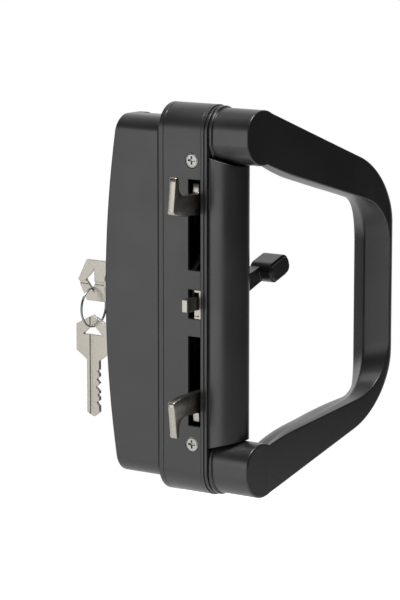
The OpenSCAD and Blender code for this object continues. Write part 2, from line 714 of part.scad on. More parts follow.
module handle_bolts() color(zinc) at_handle_bolts() difference() {
  union() {
    rod_x(x_pull + 1, x_cover + 16, bolt_r - 0.05, 0, 0);
    rod_x(x_pull - 0.9, x_pull + 1.95, bolt_head_r, 0, 0);
  }
  translate([x_pull - 0.9, 0, 0]) rotate([0, 90, 0]) cross_recess(bolt_head_r, 1.6);
}

module pull_screws() color(zinc) at_pull_screws() difference() {
  union() {
    rod_x(x_pull - 9, x_out - 0.8, pull_screw_r - 0.05, 0, 0);
    rod_x(x_out - 1.55, x_out - 0.1, 3.4, 0, 0);
  }
  translate([x_out - 0.1, 0, 0]) rotate([0, 90, 0]) cross_recess(3.4, 0.8);
}

module cover_screws() color(zinc) at_cover_screws() difference() {
  union() {
    rod_x(x_seam + 0.6, x_cover + 8, cover_screw_r - 0.05, 0, 0);
    rod_x(x_seam + 0.05, x_seam + 1.05, 2.8, 0, 0);
  }
  translate([x_seam + 0.05, 0, 0]) rotate([0, 90, 0]) cross_recess(2.8, 0.5);
}

lock_case();
inside_base();
lever_cover();
inside_handle();
outside_base();
outside_pull();
cylinder_body();
cylinder_ring();
cylinder_plug();
tailpiece();
key_in_lock();
key_ring();
spare_key();
thumb_lever();
lever_spindle();
hook_cam();
spindle_washer();
spindle_clip();
hook_upper();
hook_lower();
hook_pins();
link_upper();
link_lower();
trigger();
trigger_guide();
trigger_spring();
case_screws();
handle_bolts();
pull_screws();
cover_screws();
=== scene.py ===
# Looks of the sliding door handle with lock, dressed over its CAD frame, in metres.
# X runs through the door, with the key at -X and the grip at +X. The hooks point along -Y.
import json
import math

import bmesh
import bpy
from mathutils import Matrix, Vector

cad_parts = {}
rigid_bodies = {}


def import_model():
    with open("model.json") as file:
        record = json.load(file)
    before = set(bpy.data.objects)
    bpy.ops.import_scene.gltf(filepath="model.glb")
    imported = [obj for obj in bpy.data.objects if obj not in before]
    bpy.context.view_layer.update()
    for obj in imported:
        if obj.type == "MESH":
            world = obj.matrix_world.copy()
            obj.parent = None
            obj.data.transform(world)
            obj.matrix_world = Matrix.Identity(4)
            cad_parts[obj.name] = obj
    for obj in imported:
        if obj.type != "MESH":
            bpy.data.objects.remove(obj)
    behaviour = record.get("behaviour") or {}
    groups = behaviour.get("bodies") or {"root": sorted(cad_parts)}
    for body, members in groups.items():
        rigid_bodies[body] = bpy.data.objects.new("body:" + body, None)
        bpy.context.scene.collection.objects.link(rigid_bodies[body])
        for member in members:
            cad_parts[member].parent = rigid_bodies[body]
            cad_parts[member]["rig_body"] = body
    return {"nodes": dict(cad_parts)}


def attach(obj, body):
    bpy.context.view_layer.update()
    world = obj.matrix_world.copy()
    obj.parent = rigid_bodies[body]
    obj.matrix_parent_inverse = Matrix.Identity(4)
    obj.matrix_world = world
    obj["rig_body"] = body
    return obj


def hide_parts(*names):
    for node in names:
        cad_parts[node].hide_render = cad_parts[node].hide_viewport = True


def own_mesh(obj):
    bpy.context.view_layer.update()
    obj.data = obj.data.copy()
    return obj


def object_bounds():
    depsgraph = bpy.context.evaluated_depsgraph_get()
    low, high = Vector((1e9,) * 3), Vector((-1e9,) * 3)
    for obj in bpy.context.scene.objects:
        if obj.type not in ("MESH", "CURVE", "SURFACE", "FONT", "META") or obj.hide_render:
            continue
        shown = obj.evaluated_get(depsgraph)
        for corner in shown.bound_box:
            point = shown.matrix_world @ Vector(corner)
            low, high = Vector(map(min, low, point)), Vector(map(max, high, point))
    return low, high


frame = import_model()
cadLow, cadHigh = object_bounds()
mm = 0.001
scene = bpy.context.scene


# A colour written as sRGB hex, as Blender's linear values
def linearHex(text):
    channels = [int(text[i:i + 2], 16) / 255 for i in (1, 3, 5)]
    return [c / 12.92 if c <= 0.04045 else ((c + 0.055) / 1.055) ** 2.4 for c in channels] + [1.0]


# Adds a node, sets its properties or sockets by name, and links what feeds it
def addNode(tree, kind, settings=None, links=None):
    node = tree.nodes.new(kind)
    for name, value in (settings or {}).items():
        if isinstance(name, str) and hasattr(node, name):
            setattr(node, name, value)
        else:
            node.inputs[name].default_value = value
    for name, source in (links or {}).items():
        tree.links.new(source, node.inputs[name])
    return node


# Camera at the photograph's angle
cameraSettings = {
    "azimuth": 35.0,  # degrees, where 0 looks along +Y
    "elevation": 9.6,
    "distance": 1.431,
    "lookAt": (4.94 * mm, -17.99 * mm, 0.49 * mm),
    "lens": 169.56,  # mm
    "sensor": 36.0,
}


def placeCamera(settings):
    azimuth = math.radians(settings["azimuth"])
    elevation = math.radians(settings["elevation"])
    right = Vector((math.cos(azimuth), math.sin(azimuth), 0))
    back = Vector((math.sin(azimuth) * math.cos(elevation), -math.cos(azimuth) * math.cos(elevation),
                   math.sin(elevation)))
    up = back.cross(right)
    data = bpy.data.cameras.new("viewCamera")
    data.lens = settings["lens"]
    data.sensor_fit = "VERTICAL"
    data.sensor_height = settings["sensor"]
    data.clip_start = 0.05
    data.clip_end = 30
    camera = bpy.data.objects.new("viewCamera", data)
    scene.collection.objects.link(camera)
    turn = Matrix((right, up, back)).transposed().to_4x4()
    camera.matrix_world = Matrix.Translation(Vector(settings["lookAt"]) + back * settings["distance"]) @ turn
    scene.camera = camera


placeCamera(cameraSettings)
scene.view_settings.view_transform = "Standard"

# Soft boxes: place and aim in metres, size in metres, power in watts
lampSettings = {
    "frontBox": {"place": (-0.6, -1.8, -0.03), "size": (1.9, 1.0), "power": 11.5},
    "topBox": {"place": (0.1, -0.45, 1.5), "size": (1.0, 0.5), "power": 30.0},
    "keySideBox": {"place": (-1.6, 0.2, 0.5), "size": (0.8, 1.0), "power": 4.0},
}


def hangLamps(settings):
    for name, spec in settings.items():
        data = bpy.data.lights.new(name, "AREA")
        data.shape = "RECTANGLE"
        data.size, data.size_y = spec["size"]
        data.energy = spec["power"]
        lamp = bpy.data.objects.new(name, data)
        lamp.location = spec["place"]
        lamp.rotation_euler = (-Vector(spec["place"])).to_track_quat("-Z", "Y").to_euler()
        scene.collection.objects.link(lamp)


hangLamps(lampSettings)

# The room is dim, with the bright backdrop behind the handle, and plain white where the camera sees it
roomSettings = {
    "backdropSide": (-0.55, 0.79, 0.27),
    "backdropEdge": (0.35, 0.95),  # cosines where the backdrop's light begins and is full
    "dim": 0.045,
    "bright": 1.1,
    "floorDrop": 0.36,  # the handle is fixed to a door, so the floor lies well below it
    "floorRadius": 1.5,
    "floorColour": "#F2F2F2",
    "floorSeen": 0.85,  # glow added where the camera sees the floor
    "floorMirrored": 0.25,  # and where a reflection does
}


def paintRoom(settings):
    world = bpy.data.worlds.new("studio")
    scene.world = world
    world.use_nodes = True
    tree = world.node_tree
    tree.nodes.clear()
    path = addNode(tree, "ShaderNodeLightPath")
    coords = addNode(tree, "ShaderNodeTexCoord")
    facing = addNode(tree, "ShaderNodeVectorMath", {"operation": "DOT_PRODUCT", 1: settings["backdropSide"]},
                     {0: coords.outputs["Generated"]})
    start, full = settings["backdropEdge"]
    level = addNode(tree, "ShaderNodeMapRange", {"interpolation_type": "SMOOTHSTEP", "From Min": start,
                    "From Max": full, "To Min": settings["dim"], "To Max": settings["bright"]},
                    {"Value": facing.outputs["Value"]})
    room = addNode(tree, "ShaderNodeBackground", None, {"Strength": level.outputs["Result"]})
    seen = addNode(tree, "ShaderNodeBackground", {"Color": (1, 1, 1, 1), "Strength": 1.0})
    room.inputs["Color"].default_value = (1, 1, 1, 1)
    mix = addNode(tree, "ShaderNodeMixShader", None, {0: path.outputs["Is Camera Ray"],
                  1: room.outputs[0], 2: seen.outputs[0]})
    addNode(tree, "ShaderNodeOutputWorld", None, {"Surface": mix.outputs[0]})


def layFloor(settings):
    mesh = bpy.data.meshes.new("floor")
    form = bmesh.new()
    bmesh.ops.create_circle(form, cap_ends=True, segments=96, radius=settings["floorRadius"])
    form.transform(Matrix.Translation((0, 0, cadLow.z - settings["floorDrop"])))
    form.to_mesh(mesh)
    form.free()
    floor = bpy.data.objects.new("floor", mesh)
    scene.collection.objects.link(floor)
    material = bpy.data.materials.new("paleStudioFloor")
    material.use_nodes = True
    tree = material.node_tree
    tree.nodes.clear()
    path = addNode(tree, "ShaderNodeLightPath")
    mirrored = addNode(tree, "ShaderNodeMath", {"operation": "MULTIPLY", 1: settings["floorMirrored"]},
                       {0: path.outputs["Is Glossy Ray"]})
    fill = addNode(tree, "ShaderNodeMath", {"operation": "MULTIPLY_ADD", 1: settings["floorSeen"]},
                   {0: path.outputs["Is Camera Ray"], 2: mirrored.outputs[0]})
    paint = addNode(tree, "ShaderNodeBsdfDiffuse", {"Color": linearHex(settings["floorColour"])})
    glow = addNode(tree, "ShaderNodeEmission", {"Color": (1, 1, 1, 1)}, {"Strength": fill.outputs[0]})
    both = addNode(tree, "ShaderNodeAddShader", None, {0: paint.outputs[0], 1: glow.outputs[0]})
    addNode(tree, "ShaderNodeOutputMaterial", None, {"Surface": both.outputs[0]})
    mesh.materials.append(material)


paintRoom(roomSettings)
layFloor(roomSettings)
print("camera, lamps and floor placed")


# A new material with its shader, and the object's own coordinates
def newMaterial(name, settings):
    material = bpy.data.materials.new(name)
    material.use_nodes = True
    tree = material.node_tree
    tree.nodes.clear()
    shader = addNode(tree, "ShaderNodeBsdfPrincipled", settings)
    addNode(tree, "ShaderNodeOutputMaterial", None, {"Surface": shader.outputs[0]})
    coords = addNode(tree, "ShaderNodeTexCoord")
    return material, tree, shader, coords.outputs["Object"]


# Noise whose grain has a real width in mm along each axis
def grain(tree, coords, widthMm, detail=2.0, roughness=0.5):
    perMetre = [1 / (w * mm) for w in widthMm]
    spread = addNode(tree, "ShaderNodeMapping", {"Scale": perMetre}, {"Vector": coords})
    noise = addNode(tree, "ShaderNodeTexNoise", {"Scale": 1.0, "Detail": detail, "Roughness": roughness},
                    {"Vector": spread.outputs[0]})
    return noise.outputs["Fac"]


# A value that swings between two limits with a grain, whose noise lies mostly between 0.3 and 0.7
def between(tree, fac, low, high):
    swing = addNode(tree, "ShaderNodeMapRange",
                    {"From Min": 0.3, "From Max": 0.7, "To Min": low, "To Max": high}, {"Value": fac})
    return swing.outputs["Result"]


# A blend of two sRGB hex colours
def blendColours(tree, fac, first, second):
    mix = addNode(tree, "ShaderNodeMix", {"data_type": "RGBA"}, {"Factor": fac})
    mix.inputs[6].default_value = linearHex(first)
    mix.inputs[7].default_value = linearHex(second)
    return mix.outputs[2]


# Satin powder coat on die-cast aluminium: near black, with broad soft highlights and a faint orange peel
coatSettings = {
    "colour": "#1A1A1B",
    "paleColour": "#1F1F20",
    "peelMm": 0.9,  # the real peel is about 0.4 mm wide, drawn coarser so that it shows
    "peelDepth": 0.012 * mm,
    "cloudMm": 28,
    "roughness": (0.30, 0.37),
}


def satinPowderCoat(settings):
    material, tree, shader, coords = newMaterial("satinPowderCoatOnCastAluminium", {"IOR": 1.6})
    cloud = grain(tree, coords, [settings["cloudMm"]] * 3)
    peel = grain(tree, coords, [settings["peelMm"]] * 3, 3.0)
    tree.links.new(blendColours(tree, cloud, settings["colour"], settings["paleColour"]),
                   shader.inputs["Base Color"])
    tree.links.new(between(tree, cloud, *settings["roughness"]), shader.inputs["Roughness"])
    bump = addNode(tree, "ShaderNodeBump", {"Strength": 1.0, "Distance": settings["peelDepth"]},
                   {"Height": peel})
    tree.links.new(bump.outputs[0], shader.inputs["Normal"])
    return material


# Satin nickel plate over brushed steel: warm grey, with fine lines that stretch the highlight across them
nickelSettings = {
    "colour": "#B6B2A9",
    "darkColour": "#98948B",
    "lineMm": 0.22,  # brush lines are finer than this, and are drawn this wide to show
    "lineLengthMm": 9,
    "lineDepth": 0.01 * mm,
    "roughness": (0.24, 0.38),
}


def satinNickel(name, alongAxis, settings):
    material, tree, shader, coords = newMaterial(name, {"Metallic": 1.0})
    widths = [settings["lineMm"]] * 3
    widths[alongAxis] = settings["lineLengthMm"]
    lines = grain(tree, coords, widths, 4.0, 0.6)
    tree.links.new(blendColours(tree, lines, settings["darkColour"], settings["colour"]),
                   shader.inputs["Base Color"])
    tree.links.new(between(tree, lines, *settings["roughness"]), shader.inputs["Roughness"])
    bump = addNode(tree, "ShaderNodeBump", {"Strength": 1.0, "Distance": settings["lineDepth"]},
                   {"Height": lines})
    tree.links.new(bump.outputs[0], shader.inputs["Normal"])
    return material


# Bright zinc plate on steel: bluish white, with small passivated clouds that soften parts of the shine
zincSettings = {
    "colour": "#B4B3AE",
    "darkColour": "#8F908E",
    "cloudMm": 1.6,
    "roughness": (0.22, 0.42),
}


def brightZinc(settings):
    material, tree, shader, coords = newMaterial("brightZincPlate", {"Metallic": 1.0})
    cloud = grain(tree, coords, [settings["cloudMm"]] * 3, 3.0)
    tree.links.new(blendColours(tree, cloud, settings["darkColour"], settings["colour"]),
                   shader.inputs["Base Color"])
    tree.links.new(between(tree, cloud, *settings["roughness"]), shader.inputs["Roughness"])
    return material


# Drawn steel wire and stamped plate: neutral grey, oiled, with drawing lines
steelSettings = {
    "colour": "#9C9D9F",
    "darkColour": "#6E6F72",
    "lineMm": 0.35,
    "roughness": (0.25, 0.4),
}


def oiledSteel(settings):
    material, tree, shader, coords = newMaterial("oiledSpringSteel", {"Metallic": 1.0})
    lines = grain(tree, coords, [settings["lineMm"]] * 3, 4.0)
    tree.links.new(blendColours(tree, lines, settings["darkColour"], settings["colour"]),
                   shader.inputs["Base Color"])
    tree.links.new(between(tree, lines, *settings["roughness"]), shader.inputs["Roughness"])
    return material


coat = satinPowderCoat(coatSettings)
nickelUpright = satinNickel("satinNickelBrushedUpright", 2, nickelSettings)
nickelAcross = satinNickel("satinNickelBrushedAcross", 0, nickelSettings)
zinc = brightZinc(zincSettings)
steel = oiledSteel(steelSettings)
print("materials made")


# Links a new mesh as a piece of one body
def addPiece(name, mesh, material, node):
    mesh.materials.clear()
    mesh.materials.append(material)
    piece = bpy.data.objects.new(name, mesh)
    scene.collection.objects.link(piece)
    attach(piece, frame["nodes"][node]["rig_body"])
    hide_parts(node)
    return piece


# The plain mesh of an object with its modifiers applied, and the object removed
def finishedMesh(maker):
    graph = bpy.context.evaluated_depsgraph_get()
    mesh = bpy.data.meshes.new_from_object(maker.evaluated_get(graph))
    bpy.data.objects.remove(maker)
    return mesh


# Shades flat faces flat, so that only the edges between them look round
def shadeFlatFaces(maker, keepSharp):
    shading = maker.modifiers.new("flatFacesStayFlat", "WEIGHTED_NORMAL")
    shading.weight = 100  # the most that a large face can count
    shading.keep_sharp = keepSharp


mergeGap = 0.002 * mm  # vertices nearer than this become one
edgeSettings = {
    "segments": 3,
    "flat": 0.3,  # degrees below which two faces become one
    "sharp": 28,  # degrees above which an edge is broken
}


# A copy of a CAD node with its edges broken, as casting and coating leave them
def softEdged(node, widthMm, reshape, settings):
    mesh = frame["nodes"][node].data.copy()
    form = bmesh.new()
    form.from_mesh(mesh)
    bmesh.ops.remove_doubles(form, verts=form.verts, dist=mergeGap)
    if reshape:
        reshape(form)
    bmesh.ops.dissolve_limit(form, angle_limit=math.radians(settings["flat"]), verts=form.verts,
                             edges=form.edges)
    form.to_mesh(mesh)
    form.free()
    mesh.shade_smooth()
    maker = bpy.data.objects.new("maker", mesh)
    scene.collection.objects.link(maker)
    bevel = maker.modifiers.new("edges", "BEVEL")
    bevel.width = widthMm * mm
    bevel.segments = settings["segments"]
    bevel.limit_method = "ANGLE"
    bevel.angle_limit = math.radians(settings["sharp"])
    bevel.use_clamp_overlap = False
    shadeFlatFaces(maker, False)
    return finishedMesh(maker)


# The D grip: four rails run round the loop, each from the upper stub by two round corners to the lower one.
# "path" has the distance from the door's edge line and the height in mm, and "depths" lie behind the leaning
# flat face.
gripSettings = {
    "rails": {
        "outer": {"path": ((4.8, 97.4), (98.5, 59.0), (98.5, -64.2), (4.8, -97.4)), "radii": (40, 42),
                  "depths": (0, 0, 0), "tuck": 0},
        "inner": {"path": ((-1.1, 71.0), (98.2, 40.7), (98.2, -54.0), (1.0, -71.4)), "radii": (27, 30),
                  "depths": (0, 0, 0), "tuck": 1.6},
        "ridge": {"path": ((1.6, 69.8), (94.1, 41.2), (94.1, -55.3), (3.0, -70.6)), "radii": (28, 26),
                  "depths": (2.6, 13, 2.6), "tuck": 4},
        "heel": {"path": ((4.0, 68.0), (98.3, 40.8), (98.3, -56.4), (6.0, -69.4)), "radii": (27, 18.5),
                 "depths": (6, 22.5, 5), "tuck": 5.5},
    },
    "depthGrowth": 2.2,  # power of the sine by which the depth grows along an arm
    "tuckSteps": 9,  # over these steps a rail comes out of the stub, where it starts "tuck" mm deeper
    "armSteps": 26,
    "cornerSteps": 30,
    "gripSteps": 8,
    "seam": 11.5,
    "edgeLine": -13.5,
    "face": 28.6,
    "lean": 0.15,
    "armBack": 11,
    "gripBack": 11.2,
    "backSteps": 14,
    "swell": (0.55, 0.9),  # how full the back is at the outer edge, and what it gains by the heel
    "turnFrom": 0.6,  # share of the arm from which the back turns away from the door's edge
    "turnOver": 1.3,  # and over how many corners' steps it does
    "edgeRound": 0.7,
    "ridgeRound": 1.5,  # the ridge's radius, as times the edge's
    "cornerShare": 0.45,  # the most of a short side that a rounded corner takes
}

# The stubs that carry the loop, and the collar round each foot, in mm
stubSettings = {
    "height": 28,
    "radius": 11.5,
    "middle": 84.5,
    "shift": 0.5,
    "foot": 15.1,
    "collar": ((0, 0.6), (0.4, 1.0), (1.6, 1.0), (2.0, 0.6), (2.0, 0.0)),  # along X, and out from the stub
    "rim": 0.8,
    "rimAngles": (0.0, 22.5, 45, 67.5, 90),
    "behindFace": 0.02,  # the loop's face covers the stub's, which lies this much deeper
    "steps": 72,
}


# Straight runs and round corners of a rail, with the same number of steps on every rail
def railPoints(rail, settings):
    path = [Vector(p) for p in rail["path"]]
    bends = []
    for i, radius in ((1, rail["radii"][0]), (2, rail["radii"][1])):
        before, after = (path[i - 1] - path[i]).normalized(), (path[i + 1] - path[i]).normalized()
        half = before.angle(after) / 2
        reach = radius / math.tan(half)
        centre = path[i] + (before + after).normalized() * radius / math.sin(half)
        first, last = path[i] + before * reach - centre, path[i] + after * reach - centre
        turn = first.angle_signed(last)
        bends.append([centre + Matrix.Rotation(-turn * k / settings["cornerSteps"], 2) @ first
                      for k in range(settings["cornerSteps"] + 1)])
    points = [path[0].lerp(bends[0][0], k / settings["armSteps"]) for k in range(settings["armSteps"])]
    points += bends[0][:-1]
    points += [bends[0][-1].lerp(bends[1][0], k / settings["gripSteps"])
               for k in range(settings["gripSteps"])]
    points += bends[1]
    points += [bends[1][-1].lerp(path[3], k / settings["armSteps"])
               for k in range(1, settings["armSteps"] + 1)]
    reachOut = settings["armSteps"] + settings["cornerSteps"]
    startDepth, gripDepth, endDepth = rail["depths"]
    deep = []
    for k, point in enumerate(points):
        fromEnd = min(k, len(points) - 1 - k)
        share = math.sin(min(1, fromEnd / reachOut) * math.pi / 2) ** settings["depthGrowth"]
        near = startDepth if k < len(points) / 2 else endDepth
        hidden = max(0, 1 - fromEnd / settings["tuckSteps"]) ** 2 * rail["tuck"]
        height = point.y + math.copysign(hidden, point.y)
        deep.append(Vector((point.x, height, near + (gripDepth - near) * share)))
    return deep


# A corner of a section as three points, so that it catches the light
def roundedCorner(before, corner, after, radius, most):
    start = corner + (before - corner).normalized() * min(radius, (before - corner).length * most)
    end = corner + (after - corner).normalized() * min(radius, (after - corner).length * most)
    return [start, start * 0.25 + corner * 0.5 + end * 0.25, end]


# A point of the grip from its distance to the edge line, its height and its depth behind the face
def gripPoint(along, height, depth, settings):
    return Vector((settings["seam"] + settings["face"] + settings["lean"] * along - depth,
                   settings["edgeLine"] + along, height)) * mm


# One section: rounded back from the outer edge to the heel, then the ridge and the inner edge of the face
def gripSection(outer, inner, ridge, heel, upright, settings):
    side = 1 if outer.y > 0 else -1
    outward = Vector((math.sin(upright * math.pi / 2), side * math.cos(upright * math.pi / 2)))
    back = []
    for i in range(1, settings["backSteps"]):
        turn = math.pi * i / settings["backSteps"]
        share = (1 - math.cos(turn)) / 2
        swell = math.sin(turn) * (settings["swell"][0] + settings["swell"][1] * share)
        middle = outer.xy.lerp(heel.xy, share) + outward * settings["gripBack"] * swell * outward.x
        depth = heel.z * share + settings["armBack"] * swell * abs(outward.y)
        back.append(gripPoint(middle.x, middle.y, depth, settings))
    o, n, r, h = [gripPoint(*p, settings) for p in (outer, inner, ridge, heel)]
    radius, most = settings["edgeRound"] * mm, settings["cornerShare"]
    return (roundedCorner(n, o, back[0], radius, most) + back + roundedCorner(back[-1], h, r, radius, most)
            + roundedCorner(h, r, n, radius * settings["ridgeRound"], most)
            + roundedCorner(r, n, o, radius, most))


# Joins rings of vertices with faces and closes both ends
def skinRings(form, rings):
    size = len(rings[0])
    for first, second in zip(rings[:-1], rings[1:]):
        for i in range(size):
            j = (i + 1) % size
            form.faces.new((first[i], first[j], second[j], second[i]))
    for cap in (form.faces.new(rings[0][::-1]), form.faces.new(rings[-1])):
        for edge in cap.edges:
            edge.smooth = False


# The loop: one section for each step along the rails
def gripLoop(form, settings):
    rails = [railPoints(settings["rails"][name], settings) for name in ("outer", "inner", "ridge", "heel")]
    last = len(rails[0]) - 1
    start = settings["armSteps"] * settings["turnFrom"]
    run = settings["cornerSteps"] * settings["turnOver"]
    rings = []
    for k in range(last + 1):
        eased = max(0, min(1, (min(k, last - k) - start) / run))
        upright = eased * eased * (3 - 2 * eased)
        section = gripSection(*[rail[k] for rail in rails], upright, settings)
        rings.append([form.verts.new(point) for point in section])
    skinRings(form, rings)


# A stub: the slot outline run out to the leaning face, with a collar at the foot and a rounded rim
def gripStub(form, side, stub, settings):
    half = stub["height"] / 2 - stub["radius"]
    turns = [2 * math.pi * (i + 0.5) / stub["steps"] for i in range(stub["steps"])]

    def ring(outset, place):
        points = []
        for turn in turns:
            along = stub["shift"] + (stub["radius"] + outset) * math.cos(turn)
            lift = half if math.sin(turn) > 0 else -half
            height = side * stub["middle"] + (stub["radius"] + outset) * math.sin(turn) + lift
            points.append(form.verts.new(Vector((place(along), settings["edgeLine"] + along, height)) * mm))
        return points

    rings = [ring(outset, lambda along, x=x: stub["foot"] + x) for x, outset in stub["collar"]]
    for angle in stub["rimAngles"]:
        setBack = stub["rim"] * (1 - math.sin(math.radians(angle))) + stub["behindFace"]
        rings.append(ring(-stub["rim"] * (1 - math.cos(math.radians(angle))), lambda along, back=setBack:
                          settings["seam"] + settings["face"] + settings["lean"] * along - back))
    skinRings(form, rings)


# Loop and stubs in one mesh, as the one casting that they are
def buildGrip(settings, stub):
    form = bmesh.new()
    gripLoop(form, settings)
    for side in (-1, 1):
        gripStub(form, side, stub, settings)
    bmesh.ops.recalc_face_normals(form, faces=form.faces)
    mesh = bpy.data.meshes.new("insideHandle")
    form.to_mesh(mesh)
    form.free()
    mesh.shade_smooth()
    maker = bpy.data.objects.new("maker", mesh)
    scene.collection.objects.link(maker)
    shadeFlatFaces(maker, True)
    addPiece("insideHandleCasting", finishedMesh(maker), coat, "inside_handle")


buildGrip(gripSettings, stubSettings)
print("grip loop and stubs made")

# The hood of the lever cover runs out to the stubs. "profile" has the distance out from the flange and the
# half height there, at the base, the bend and the crest, in mm.
hoodSettings = {
    "base": 15.1,
    "oldHalf": 69.2,  # half height of the raked end at the base, as it is in the frame
    "rake": 23,  # degrees
    "profile": ((0, 74.0), (10.4, 71.2), (15.3, 69.8)),
    "edgeLine": gripSettings["edgeLine"],
    "tolerance": 0.15,  # mm from the raked plane in which a vertex counts as on it
    "slack": 0.01,
}


# Moves the hood's two raked ends out to the profile, and closes them again with strips across
def lengthenHood(form, settings):
    onLine = 1e-6  # metres

    def heightAt(out):
        for (x0, z0), (x1, z1) in zip(settings["profile"][:-1], settings["profile"][1:]):
            if out <= x1 or x1 == settings["profile"][-1][0]:
                return z0 + (z1 - z0) * (out - x0) / (x1 - x0)

    slope = math.tan(math.radians(settings["rake"]))
    for side in (-1, 1):
        ends = []
        for vert in form.verts:
            out = vert.co.x / mm - settings["base"]
            fromPlane = abs(side * vert.co.z / mm - settings["oldHalf"] + out * slope)
            if out > -settings["slack"] and fromPlane < settings["tolerance"]:
                ends.append((out, vert))
        chosen = {vert for out, vert in ends}
        for face in [f for f in form.faces if all(v in chosen for v in f.verts)]:
            form.faces.remove(face)
        for out, vert in ends:
            vert.co.z = side * heightAt(max(out, 0)) * mm
        middle = settings["edgeLine"] * mm
        lefts = sorted(((o, v) for o, v in ends if v.co.y < middle - onLine), key=lambda pair: pair[0])
        rights = sorted(((o, v) for o, v in ends if v.co.y > middle + onLine), key=lambda pair: pair[0])
        tops = [v for o, v in ends if abs(v.co.y - middle) <= onLine]
        for i in range(min(len(lefts), len(rights)) - 1):
            form.faces.new((lefts[i][1], rights[i][1], rights[i + 1][1], lefts[i + 1][1]))
        if tops:
            form.faces.new((lefts[-1][1], rights[-1][1], tops[0]))
    bmesh.ops.recalc_face_normals(form, faces=form.faces)


# Castings and turned or pressed pieces that keep the CAD form, with their edge radius in mm
softPieces = {
    "lockCaseCasting": {"node": "lock_case", "edge": 0.35, "finish": coat, "slot": "black_coat"},
    "insideBasePlate": {"node": "inside_base", "edge": 0.12, "finish": coat, "slot": "black_coat"},
    "leverCoverCasting": {"node": "lever_cover", "edge": 0.35, "finish": coat, "slot": "black_coat",
                          "reshape": lambda form: lengthenHood(form, hoodSettings)},
    "outsideBasePlate": {"node": "outside_base", "edge": 0.35, "finish": coat, "slot": "black_coat"},
    "outsidePullCasting": {"node": "outside_pull", "edge": 0.9, "finish": coat, "slot": "black_coat"},
    "thumbLeverCasting": {"node": "thumb_lever", "edge": 0.35, "finish": coat, "slot": "black_coat"},
    "triggerBar": {"node": "trigger", "edge": 0.4, "finish": nickelUpright, "slot": "nickel"},
    "triggerGuideClip": {"node": "trigger_guide", "edge": 0.15, "finish": nickelUpright, "slot": "nickel"},
    "caseFixingScrews": {"node": "case_screws", "edge": 0.15, "finish": zinc, "slot": "zinc"},
    "cylinderBarrel": {"node": "cylinder_body", "edge": 0.4, "finish": nickelAcross, "slot": "nickel"},
    "cylinderCollar": {"node": "cylinder_ring", "edge": 0.2, "finish": nickelAcross, "slot": "nickel"},
    "cylinderPlugCore": {"node": "cylinder_plug", "edge": 0.25, "finish": nickelAcross, "slot": "nickel"},
    "keyInLock": {"node": "key_in_lock", "edge": 0.2, "finish": nickelUpright, "slot": "nickel"},
    "spareKey": {"node": "spare_key", "edge": 0.2, "finish": nickelUpright, "slot": "nickel"},
}

# Hooks: blanked plates with a curved claw, drawn in mm from the pivot, with -Y as the first axis
hookSettings = {
    "pivot": (-12.0, 53.0),
    "sides": (5.7, 9.7),  # X of both faces
    "boss": 8.2,
    "pinHole": 2.06,
    "reach": 35.5,
    "heel": {"back": 9, "up": 0.8},  # lower corner, back from the reach and up from the boss's foot
    "toe": {"back": 1, "down": 1.1},  # and the next, down from the front's low end
    "front": {"low": -4.7, "rise": 17, "lean": 2.34, "steps": 8},
    "claw": {"tip": 13.0, "end": ((2.9, 0), (4.4, 0.3)), "centre": (-24.9, 8.6), "radius": 5.8,
             "turns": (5, 90), "steps": 10},
    "throat": ((-14.4, 2.9), (-13.6, 3.5), (-13.6, 7.4), (-12.8, 8.2)),
    "crank": {"place": (4.243, -4.243), "radius": 1.25, "from": 2.3, "segments": 28},
    "bossSteps": 40,
    "holeSteps": 36,
    "edge": 0.45,
    "edgeSteps": 2,
    "sharp": 50,  # degrees above which an edge stays crisp
}


# Outline of the upper hook, from the heel round the claw and the throat to the boss
def hookOutline(settings):
    def swept(centre, radius, start, end, count):
        return [(centre[0] + radius * math.cos(math.radians(start + (end - start) * k / count)),
                 centre[1] + radius * math.sin(math.radians(start + (end - start) * k / count)))
                for k in range(count + 1)]

    reach, front, claw = settings["reach"], settings["front"], settings["claw"]
    heel, toe = settings["heel"], settings["toe"]
    points = [(-reach + heel["back"], -settings["boss"] + heel["up"]),
              (-reach + toe["back"], front["low"] - toe["down"])]
    for k in range(front["steps"] + 1):
        share = k / front["steps"]
        lean = front["lean"] * math.sin(share * math.pi / 3)
        points.append((-reach + lean, front["low"] + front["rise"] * share))
    points += [(-reach + back, claw["tip"] - down) for back, down in claw["end"]]
    start, end = claw["turns"]
    points += swept(claw["centre"], claw["radius"], 180 + start, 180 + end, claw["steps"])
    points += settings["throat"]
    points += swept((0, 0), settings["boss"], 90, -90, settings["bossSteps"])
    return points


